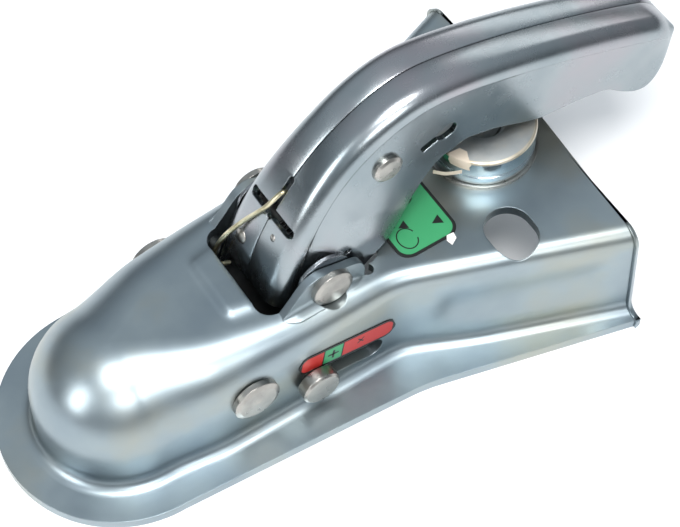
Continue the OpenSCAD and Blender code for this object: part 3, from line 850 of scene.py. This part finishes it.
@dataclass
class Handle:
    """The arched handle of two mirrored pressings."""

    sheet: float = 2.0
    grip_y: float = 13.0
    base_y: float = 18.4
    corner: float = 6.5
    hump: float = 0.55
    seam: float = 0.08
    tail_drop: float = 5.0
    tail_turn: float = 0.06
    side_step: float = 0.6
    front_flare: float = 4.0
    fold_at: float = 0.45
    fold_grip: float = 0.97
    fold_from: float = 0.68
    fold_run: float = 0.12
    flare_from: float = 0.58
    flare_run: float = 0.23
    widen_from: float = 0.7
    widen_run: float = 0.3
    tail_wall: float = 0.016
    pivot: tuple[float, float] = (-70.5, 33.0)
    rivet_at: tuple[float, float] = (-98.7, 65.3)
    rivet_r: float = 3.5
    pivot_hole_r: float = 4.05
    tooling_at: tuple[float, float] = (-80.4, 38.6)
    tooling_r: float = 1.3
    keyhole_at: tuple[float, float] = (-122.4, 66.2)
    cross_at: tuple[float, float] = (-64.0, 52.5)
    cross_tilt: float = 64.0
    cross_half: float = 10.0
    side_cut: float = 30.0
    rear_curve: Array = field(default_factory=lambda: np.array(
        [[-221, 55.5], [-193, 69.8], [-136, 90.7], [-115, 90.7]], dtype=float))
    front_curve: Array = field(default_factory=lambda: np.array(
        [[-115, 90.7], [-89.2, 90.7], [-58.9, 59.8], [-51.8, 24]], dtype=float))
    under_s: tuple[float, ...] = (0, 0.015, 0.04, 0.07, 0.105, 0.14, 0.2, 0.3, 0.4, 0.5, 0.58, 0.66,
                                  0.74, 0.82, 0.9, 1)
    under_x: tuple[float, ...] = (-220.5, -217.5, -212.7, -206.6, -198.2, -191.5, -179, -161, -143, -131,
                                  -120, -109, -100, -92, -86, -78)
    under_z: tuple[float, ...] = (46, 34.5, 28.3, 27.5, 33.1, 39.6, 42.5, 44.5, 53, 56.5,
                                  53, 43, 35, 29, 24, 16)
    steps: int = 120
    corner_steps: int = 10

    def crown(self, s: float) -> Array:
        """A point on the crown line.

        Args:
            s: station from tail to base.

        Returns:
            The point in the side view.
        """
        if s < self.hump:
            drop = self.tail_drop * (1 - min(1.0, s / self.tail_turn)) ** 2
            return bezier(self.rear_curve, s / self.hump) - np.array([0.0, drop])
        return bezier(self.front_curve, (s - self.hump) / (1 - self.hump))

    def under(self, s: float) -> Array:
        """A point on the lower edge, averaged over a short stretch.

        Args:
            s: station from tail to base.

        Returns:
            The point in the side view.
        """
        reach = 0.014 * min(1.0, s / 0.05, (1 - s) / 0.03) + 1e-6
        around = np.linspace(s - reach, s + reach, 9)
        return np.array([np.interp(around, self.under_s, self.under_x).mean(),
                         np.interp(around, self.under_s, self.under_z).mean()])

    def crown_y(self, s: float) -> float:
        """Half width at the crown.

        Args:
            s: station from tail to base.

        Returns:
            The half width.
        """
        tip = min(1.0, 0.35 + s / 0.06 * 0.65)
        wider = self.front_flare * float(ease((s - self.widen_from) / self.widen_run))
        return self.grip_y * math.sqrt(1 - (1 - tip) ** 2) + wider

    def under_y(self, s: float) -> float:
        """Half width at the lower edge.

        Args:
            s: station from tail to base.

        Returns:
            The half width.
        """
        wall = self.grip_y - self.side_step
        flared = wall + (self.base_y - wall) * float(ease((s - self.flare_from) / self.flare_run))
        return max(self.crown_y(s) - self.step_in(s), flared - 50 * (0.06 - min(s, 0.06)))

    def step_in(self, s: float) -> float:
        """How far the flat side is set in under the rounded shoulder."""
        return self.side_step * min(1.0, s / 0.04)

    def section(self, s: float, off: float, seam_y: float, over: float) -> Array:
        """One cross-section of a half, closed along the seam.

        Args:
            s: station from tail to base.
            off: how far it is moved inwards.
            seam_y: where it is closed next to the seam.
            over: how far its open side reaches past the lower edge.

        Returns:
            The section's points.
        """
        top, low = self.crown(s), self.under(s)
        depth = float(np.linalg.norm(low - top))
        down = (low - top) / depth
        b, c = self.crown_y(s), self.under_y(s)
        r = min(self.corner, b - self.sheet - 0.5, depth / 3)
        start = r + 1.6
        k = self.step_in(s)
        moved = float(ease((s - self.fold_from) / self.fold_run))
        fold = self.fold_grip + (self.fold_at - self.fold_grip) * moved
        stop = max(start + 1, depth * fold)
        nick = 0.45 if off == 0 else 0.0
        rows = [[seam_y, off + nick], [seam_y + 0.12, off + nick * 0.4], [seam_y + 0.45, off]]
        for a in np.radians(np.linspace(90, 0, self.corner_steps + 1)):
            rows.append([b - r + (r - off) * math.cos(a), r - (r - off) * math.sin(a)])
        rows.append([b - k * 0.55 - off, r + 0.4 * (min(r + 1, start - 0.5) - r)])
        rows.append([b - k - off, min(r + 1, start - 0.5)])
        for t in np.linspace(0, 1, 9):
            rows.append([b - k + (c - b + k) * t - off, start - 0.3 + (stop - start + 0.3) * t])
        rows += [[c - off, depth + over], [seam_y, depth + over]]
        q = np.array(rows)
        return np.column_stack((top[0] + down[0] * q[:, 1], q[:, 0], top[1] + down[1] * q[:, 1]))

    def form(self, stations: Array, off: float, seam_y: float, side: int) -> bpy.types.Object:
        """A closed solid through the sections.

        Args:
            stations: stations from tail to base.
            off: how far the solid is moved inwards.
            seam_y: where it is closed next to the seam.
            side: 1 for the left half, -1 for the right.

        Returns:
            The solid.
        """
        over = [0.0 if off == 0 else (8.0 if s > 0.9 else 2.0) for s in stations]
        rings = [self.section(float(s), off, seam_y, o) for s, o in zip(stations, over)]
        if off:
            ahead = (rings[-1][0] - rings[-2][0]) * [1, 0, 1]
            rings.append(rings[-1] + ahead * 1.5 / float(np.linalg.norm(ahead)))
        n, m = len(rings[0]), len(rings)
        points = np.vstack(rings) * [1, side, 1]
        faces = ring_quads(m, n)
        faces += [tuple(range(n)), tuple(range((m - 1) * n, m * n))]
        obj = mesh_object("form", points, faces, [ZINC_HANDLE])
        fix_normals(obj)
        return obj

    def cutters(self) -> list[bpy.types.Object]:
        """Everything that is cut from a shell.

        Returns:
            The holes through the side, the keyhole's two parts and the arms of the cross slot.
        """
        wide = turned(rounded_box(8.0, 6.6, 3.2), -22, self.keyhole_at)
        narrow = turned(rounded_box(8, 3.4, 0.6), -20, (self.keyhole_at[0] + 6, self.keyhole_at[1] - 1.8))
        holes = (circle(self.pivot_hole_r, 48, self.pivot), circle(self.rivet_r, 32, self.rivet_at),
                 circle(self.tooling_r, 24, self.tooling_at), wide, narrow)
        tools = [prism("cut", hole, -self.side_cut, self.side_cut, Plane.XZ) for hole in holes]
        arms = (rounded_box(3.8, 2 * self.cross_half + 3.8, 1.8),
                rounded_box(18, 2.4, 1.1) + np.array([-6, 0]))
        for arm in arms:
            tool = prism("cut", arm, -6, 6, Plane.XY)
            tool.rotation_euler = (0, math.radians(self.cross_tilt), 0)
            tool.location = (self.cross_at[0] * MM, 0, self.cross_at[1] * MM)
            tools.append(tool)
        bpy.context.view_layer.update()
        return tools

    def half(self) -> bpy.types.Object:
        """Builds the right half with everything cut from it.

        Returns:
            The half before it is dressed.
        """
        stations = np.unique(np.concatenate((np.linspace(0, 0.06, 12), np.linspace(0.06, 1, self.steps))))
        inner = np.concatenate(([self.tail_wall], stations[stations > self.tail_wall + 0.003]))
        obj = self.form(stations, 0.0, self.seam, -1)
        obj.name = "handle_right"
        base = np.array([[-60.0, 2.0], [-30.0, 2.0], [-30.0, 18.0], [-60.0, 18.0]])
        block = prism("cut", base, -60, 60, Plane.XZ)
        combine(obj, [self.form(inner, self.sheet, -1.0, -1)], "DIFFERENCE")
        for tool in [block] + self.cutters():
            combine(obj, [tool], "DIFFERENCE")
        smooth(obj, 32)
        return obj

    def shells(self) -> None:
        """Dresses the right half and its mirrored copy."""
        right = self.half()
        mesh = right.data.copy()
        count = len(mesh.vertices)
        flat = np.empty(count * 3)
        mesh.vertices.foreach_get("co", flat)
        mesh.vertices.foreach_set("co", (flat.reshape(-1, 3) * [1, -1, 1]).ravel())
        mesh.flip_normals()
        left = bpy.data.objects.new("handle_left", mesh)
        bpy.context.scene.collection.objects.link(left)
        smooth(left, 32)
        finish_piece(left, Body.HANDLE, ["handle_left_shell"])
        finish_piece(right, Body.HANDLE, ["handle_right_shell"])

    def dimples(self) -> bpy.types.Object:
        """Two round punch marks on the front wall below the cross slot.

        Each is a low dome turned round the wall's normal, whose height falls with the square of the radius.

        Returns:
            The dressed piece.
        """
        points, faces = [], []
        base, rings, steps = 0, 6, 32
        for y, t, radius, rise in ((-7.4, 0.885, 3.0, 0.7), (5.4, 0.775, 1.5, 0.4)):
            at = bezier(self.front_curve, t)
            ahead = bezier(self.front_curve, t + 0.01) - at
            ahead /= np.linalg.norm(ahead)
            out = np.array([-ahead[1], ahead[0]])
            out = out if out[0] > 0 else -out
            share = np.repeat(np.linspace(1, 0.02, rings), steps)
            angle = np.tile(np.linspace(0, 2 * math.pi, steps, endpoint=False), rings)
            lift = rise * (1 - share ** 2) - 0.12
            run = radius * share * np.cos(angle)
            points.append(np.column_stack((at[0] + ahead[0] * run + out[0] * lift,
                                           y + radius * share * np.sin(angle),
                                           at[1] + ahead[1] * run + out[1] * lift)))
            end = base + (rings - 1) * steps
            faces += ring_quads(rings, steps, base)
            faces += [tuple(range(base, base + steps)), tuple(range(end, end + steps))]
            base += rings * steps
        obj = mesh_object("front_wall_dimples", np.vstack(points), faces, [PIN_STEEL])
        fix_normals(obj)
        return finish_piece(obj, Body.HANDLE)

    def catch_wire(self) -> bpy.types.Object:
        """The wire that leaves the slit and dips into the opening.

        Returns:
            The dressed piece.
        """
        knots = np.array([[-71.5, 0.0, 53.5], [-69.6, 0.1, 58.0], [-67.2, -0.1, 60.3], [-61.7, -1.4, 55.0],
                          [-56.5, -6.8, 44.9], [-51.6, -10.3, 36.7], [-49.0, -13.8, 26.6],
                          [-48.8, -15.6, 18.4], [-51.0, -16.0, 12.0], [-54.5, -16.0, 9.4]])
        obj = tube("catch_wire", spline(knots, 10), 0.85, [SPRING_WIRE])
        return finish_piece(obj, Body.HANDLE)


@dataclass
class LabelPrint:
    """Fields of colour and simple marks printed on the two labels."""

    plate_z: float = 27.3
    label_centre_x: float = -109.4
    label_size: tuple[float, float] = (23.6, 52.4)
    indicator_at: tuple[float, float] = (-71.2, 5.3)
    indicator_size: tuple[float, float] = (39.0, 9.5)
    field_stops: tuple[float, float] = (9.7, 2.0)
    band_points: int = 28
    slope: float = 9.0
    housing: PressedHousing = field(default_factory=PressedHousing)

    def _stroke(self, line: Array, width: float) -> tuple[Array, list[tuple[int, ...]]]:
        """A flat ribbon along a line.

        Args:
            line: the ribbon's middle.
            width: its width.

        Returns:
            Points and faces in the plane.
        """
        ahead = np.gradient(line, axis=0)
        ahead /= np.linalg.norm(ahead, axis=1, keepdims=True) + 1e-9
        side = np.column_stack((-ahead[:, 1], ahead[:, 0])) * width / 2
        n = len(line)
        return np.vstack((line + side, line - side)), [(i, i + 1, n + i + 1, n + i) for i in range(n - 1)]

    def instruction(self) -> bpy.types.Object:
        """The green field and its marks, laid on the black edge of the label.

        Returns:
            The dressed label.
        """
        length, width = self.label_size
        panel = rounded_box(length - 2.2, width - 2.2, 4.2)
        shapes: list[tuple[Array, list[tuple[int, ...]], int]] = [(panel, [tuple(range(len(panel)))], 0)]
        for centre, size in (((-6.8, 18.5), 2.0), ((4.0, 14.0), 1.8), ((-6.8, -18.5), 2.0)):
            tri = np.array([[size, 0], [-size * 0.8, size], [-size * 0.8, -size]]) + centre
            shapes.append((tri, [(0, 1, 2)], 1))
        arc = np.radians(np.linspace(200, 520, 30))
        for cx, cy, rx, ry in ((1.5, 5.0, 7.0, 3.0), (5.5, 19.0, 3.4, 4.2), (0.5, -8.0, 6.0, 4.0)):
            line = np.column_stack((cx + rx * np.cos(arc), cy + ry * np.sin(arc)))
            points, faces = self._stroke(line, 0.45)
            shapes.append((points, faces, 1))
        torn = np.array([[-8.8, 25.4], [-6.2, 25.2], [-5.0, 27.0], [-5.6, 29.4], [-6.9, 28.6], [-8.4, 27.8]])
        shapes.append((torn, [tuple(range(6))], 2))
        return self._lay("instruction_print", shapes, [PRINT_GREEN, PRINT_BLACK, PRINT_WHITE])

    def _band(self, low: float, high: float, inset: float, rise: float) -> Array:
        """A stretch of the indicator label, as two rows of points that follow the side wall.

        The half height is that of a rectangle with round ends, and each point lies a set rise off the wall.

        Args:
            low: start of the stretch, measured from the label's middle.
            high: end of the stretch.
            inset: how far the stretch stays inside the label's edge.
            rise: distance off the wall.

        Returns:
            Points of the upper row, then of the lower row.
        """
        length, width = self.indicator_size
        u = np.linspace(low, high, self.band_points)
        radius = 4.0 - inset
        end = np.clip((np.abs(u) - (length / 2 - inset - radius)) / radius, 0, 1)
        half = width / 2 - inset - radius * (1 - np.sqrt(1 - end ** 2 + 1e-9))
        rows = []
        for sign in (1, -1):
            flat = turned(np.column_stack((u, sign * half)), self.slope, self.indicator_at)
            wall = np.array([self.housing.wall_y(float(x)) for x in flat[:, 0]])
            rows.append(np.column_stack((flat[:, 0], wall + rise, flat[:, 1])))
        return np.vstack(rows)

    def indicator(self) -> bpy.types.Object:
        """The black label on the side wall with red, green and red fields, a plus and a cross.

        Returns:
            The dressed piece.
        """
        length = self.indicator_size[0]
        rows, faces, slots = [], [], []
        n = self.band_points
        strip = [(i, i + 1, n + i + 1, n + i) for i in range(n - 1)]
        rows += [self._band(-length / 2, length / 2, 0, 0.3), self._band(-length / 2, length / 2, 0, 0.02)]
        rim = list(range(n)) + list(range(2 * n - 1, n - 1, -1))
        faces += strip + [tuple(2 * n + i for i in reversed(f)) for f in strip]
        faces += [(a, b, b + 2 * n, a + 2 * n) for a, b in zip(rim, rim[1:] + rim[:1])]
        slots += [2] * len(faces)
        base = 4 * n
        edge = 0.9
        stops = (length / 2 - edge, *self.field_stops, -length / 2 + edge)
        for i, slot in enumerate((1, 0, 1)):
            gap = 0.25
            rows.append(self._band(stops[i + 1] + gap, stops[i] - gap, edge, 0.34))
            faces += [tuple(base + k for k in f) for f in strip]
            slots += [slot] * len(strip)
            base += 2 * n
        for angle, at, size, thick in ((0, (self.field_stops[0] - 3.9, 0), 2.2, 0.9),
                                       (45, (self.field_stops[1] - 7.3, 0.6), 1.7, 0.55)):
            for turn in (0, 90):
                half = thick / 2
                bar = turned(np.array([[-size, -half], [size, -half], [size, half], [-size, half]]),
                             angle + turn, at)
                flat = turned(bar, self.slope, self.indicator_at)
                rows.append(np.column_stack((flat[:, 0], np.full(4, self.housing.side_y + 0.37), flat[:, 1])))
                faces.append((base, base + 1, base + 2, base + 3))
                slots.append(2)
                base += 4
        cloud = np.vstack(rows)
        ordered = []
        for index, face in enumerate(faces):
            a, b, c = (cloud[k] for k in face[:3])
            flip = index >= 2 * len(strip) + 2 * n and np.cross(b - a, c - b)[1] < 0
            ordered.append(tuple(reversed(face)) if flip else face)
        obj = mesh_object("indicator_label_print", cloud, ordered, [PRINT_GREEN, PRINT_RED, PRINT_BLACK])
        obj.data.polygons.foreach_set("material_index", np.array(slots, dtype=np.int32))
        return finish_piece(obj, Body.ROOT, ["indicator_label"])

    def _lay(self, name: str, shapes: Sequence[tuple[Array, list[tuple[int, ...]], int]],
             finishes: Sequence[Finish]) -> bpy.types.Object:
        """Lays flat shapes on the top label, each a hair above the one before.

        Args:
            name: the piece's name.
            shapes: points, faces and material number of each shape.
            finishes: finishes for the material slots.

        Returns:
            The dressed piece.
        """
        rows, faces, slots = [], [], []
        base = 0
        for index, (points, polygons, number) in enumerate(shapes):
            rise = 0.03 + (0.02 if index else 0.0) + 0.002 * index
            row = np.column_stack((points[:, 0] + self.label_centre_x, points[:, 1],
                                   np.full(len(points), self.plate_z + rise)))
            rows.append(row)
            for polygon in polygons:
                order = polygon
                a, b, c = (row[i] for i in order[:3])
                normal = np.cross(b - a, c - b)
                if normal[2] < 0:
                    order = tuple(reversed(order))
                faces.append([base + i for i in order])
                slots.append(number)
            base += len(points)
        obj = mesh_object(name, np.vstack(rows), faces, finishes)
        obj.data.polygons.foreach_set("material_index", np.array(slots, dtype=np.int32))
        return finish_piece(obj, Body.ROOT)


@dataclass
class ClampDisc:
    """The clamping disc with worn tape left on its face."""

    back: float = 147.5
    foot_z: float = 28.4
    radius: float = 18.8
    height: float = 12.0

    def disc(self) -> bpy.types.Object:
        """The turned disc: a closed profile of radius and height, turned round the screw.

        Returns:
            The dressed piece.
        """
        r, h = self.radius, self.height
        profile = np.array([[6.5, 0], [r - 0.5, 0], [r, 0.5], [r, 3.4], [r - 0.5, 3.9], [r - 0.5, 4.3],
                            [r, 4.8], [r, h - 1.1], [r - 0.3, h - 0.35], [r - 1.1, h], [8.0, h],
                            [7.3, h - 0.6], [7.0, h - 2.4], [6.5, h - 2.4]])
        obj = lathe("clamp_disc_turned", profile, (-self.back, 0, self.foot_z),
                    [DISC_STEEL, DISC_RIM, DISC_EDGE])
        n = len(profile)
        slots = np.zeros(n, dtype=np.int32)
        slots[0:7] = 1
        slots[7:9] = 2
        obj.data.polygons.foreach_set("material_index", np.tile(slots, len(obj.data.polygons) // n))
        fix_normals(obj)
        return finish_piece(obj, Body.ROOT, ["clamp_disc"])

    def screw(self) -> bpy.types.Object:
        """The clamping screw, whose end lies low in the hollow of the disc.

        Returns:
            The dressed piece.
        """
        top = self.foot_z + self.height - 2.6
        obj = prism("clamp_screw_turned", circle(6, 64, (-self.back, 0)), 7.0, top, Plane.XY, [DISC_STEEL])
        # The socket cutter carries the dark blackened-steel finish: painted shade meant for the inside of the
        # socket
        socket = prism("cut", circle(3.2, 6, (-self.back, 0)), top - 3, top + 1, Plane.XY, [BLACK_STEEL])
        combine(obj, [socket], "DIFFERENCE")
        smooth(obj, 32)
        return finish_piece(obj, Body.ROOT, ["clamp_screw"])

    def tape(self) -> bpy.types.Object:
        """A torn scrap of tape folded over the rim, and a strip that stands out from it.

        The scrap is a grid: one way along a profile of radius and height that follows the rim,
        the other way round the disc between two ragged ends.

        Returns:
            The dressed piece.
        """
        r, h = self.radius, self.height
        rim = np.array([[14.6, h + 0.07], [16.4, h + 0.07], [r - 0.9, h + 0.06], [r - 0.1, h - 0.3],
                        [r + 0.12, h - 1.2], [r + 0.14, h - 2.6], [r + 0.2, h - 4.2]])
        first = np.radians([22.0, 19.0, 17.0, 16.0, 18.0, 17.0, 20.0])
        last = np.radians([33.0, 37.0, 40.0, 42.0, 43.0, 41.0, 42.0])
        along = np.linspace(0, 1, 12)
        angle = first[:, None] + (last - first)[:, None] * along[None, :]
        points = np.stack((rim[:, :1] * np.cos(angle) - self.back, rim[:, :1] * np.sin(angle),
                           np.repeat(rim[:, 1:] + self.foot_z, 12, axis=1)), axis=2).reshape(-1, 3)
        faces = [(i * 12 + j, (i + 1) * 12 + j, (i + 1) * 12 + j + 1, i * 12 + j + 1)
                 for i in range(len(rim) - 1) for j in range(11)]
        line = spline(np.array([[-130.9, 11.6, 36.4], [-128.4, 11.0, 36.9], [-125.6, 9.0, 36.2],
                                [-122.6, 6.4, 36.6]]), 8)
        base, n = len(points), len(line)
        points = np.vstack((points, line + [0, 0, 1.0], line - [0, 0, 1.0]))
        faces += [(base + i, base + n + i, base + n + i + 1, base + i + 1) for i in range(n - 1)]
        obj = mesh_object("tape_scraps", points, faces, [TAPE])
        return finish_piece(obj, Body.ROOT)


# Studio


@dataclass
class Studio:
    """Camera, floor and plain soft light."""

    look: tuple[float, float, float] = (-85.11, 6.51, 11.68)
    back: tuple[float, float, float] = (0.2968, 0.4508, 0.8419)
    distance: float = 682.15
    focal_px: float = 1999.0
    width_px: float = 680.0
    floor_z: float = -19.0

    def camera(self) -> None:
        """Places the camera at the photograph's angle."""
        data = bpy.data.cameras.new("photo_camera")
        data.sensor_width = 36.0
        data.lens = self.focal_px / self.width_px * data.sensor_width
        data.clip_start = 0.01
        cam = bpy.data.objects.new("photo_camera", data)
        direction = Vector(self.back).normalized()
        cam.location = (Vector(self.look) + direction * self.distance) * MM
        cam.rotation_euler = direction.to_track_quat("Z", "Y").to_euler()
        bpy.context.scene.collection.objects.link(cam)
        bpy.context.scene.camera = cam

    def floor(self) -> None:
        """A wide pale floor just under the flange."""
        size, z = 6000.0, self.floor_z - 0.05
        points = np.array([[-size, -size, z], [size, -size, z], [size, size, z], [-size, size, z]])
        floor = mesh_object("floor", points, [(0, 1, 2, 3)], [FLOOR])

    def light(self, name: str, at: tuple[float, float, float], size: tuple[float, float], power: float,
              aim: tuple[float, float, float] = (-85, 0, 20)) -> None:
        """Adds a soft rectangular light.

        Args:
            name: the light's name.
            at: its place in millimetres.
            size: its width and height in millimetres.
            power: its power in watts.
            aim: the point it faces.
        """
        data = bpy.data.lights.new(name, "AREA")
        data.shape = "RECTANGLE"
        data.size, data.size_y = size[0] * MM, size[1] * MM
        data.energy = power
        lamp = bpy.data.objects.new(name, data)
        lamp.location = Vector(at) * MM
        lamp.rotation_euler = (Vector(at) - Vector(aim)).to_track_quat("Z", "Y").to_euler()
        bpy.context.scene.collection.objects.link(lamp)

    def build(self) -> None:
        """Builds the whole studio."""
        scene = bpy.context.scene
        self.camera()
        self.floor()
        world = bpy.data.worlds.new("studio")
        world.use_nodes = True
        background = world.node_tree.nodes["Background"]
        background.inputs["Color"].default_value = linear("CBD5DE")
        # The room is dim near the horizon and brighter overhead
        nodes, link = world.node_tree.nodes, world.node_tree.links.new
        way, split, climb = (nodes.new(kind) for kind in ("ShaderNodeTexCoord", "ShaderNodeSeparateXYZ",
                                                          "ShaderNodeMapRange"))
        climb.interpolation_type = "SMOOTHSTEP"
        for name, value in (("From Min", 0.05), ("From Max", 0.75), ("To Min", 0.25), ("To Max", 0.9)):
            climb.inputs[name].default_value = value
        link(way.outputs["Generated"], split.inputs["Vector"])
        link(split.outputs["Z"], climb.inputs["Value"])
        link(climb.outputs["Result"], background.inputs["Strength"])
        scene.world = world
        scene.view_settings.view_transform = "Standard"
        self.light("top_softbox", (40, 300, 1050), (520, 360), 10)
        self.light("near_softbox", (150, 820, 720), (520, 260), 4.0)
        self.light("nose_softbox", (900, 100, 500), (300, 500), 4)
        self.light("rear_softbox", (-950, -480, 430), (500, 300), 0.8)
        LOG.info("studio built")


def dress_cad(frame: dict) -> None:
    """Gives every CAD node its procedural finish.
    """
    for name, obj in frame["nodes"].items():
        material = PALETTE.get(CAD_FINISHES[name])
        if obj.data.materials:
            for index in range(len(obj.data.materials)):
                obj.material_slots[index].material = material
        else:
            obj.data.materials.append(material)
        LOG.info("%s dressed as %s", name, material.name)


def main() -> None:
    """Builds the scene in order."""
    logging.basicConfig(level=logging.INFO, format="%(message)s")
    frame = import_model()
    dress_cad(frame)
    Studio().build()
    PressedHousing().build()
    handle = Handle()
    handle.shells()
    handle.catch_wire()
    handle.dimples()
    labels = LabelPrint()
    labels.instruction()
    labels.indicator()
    disc = ClampDisc()
    disc.disc()
    disc.screw()
    disc.tape()


if __name__ == "__main__":
    main()
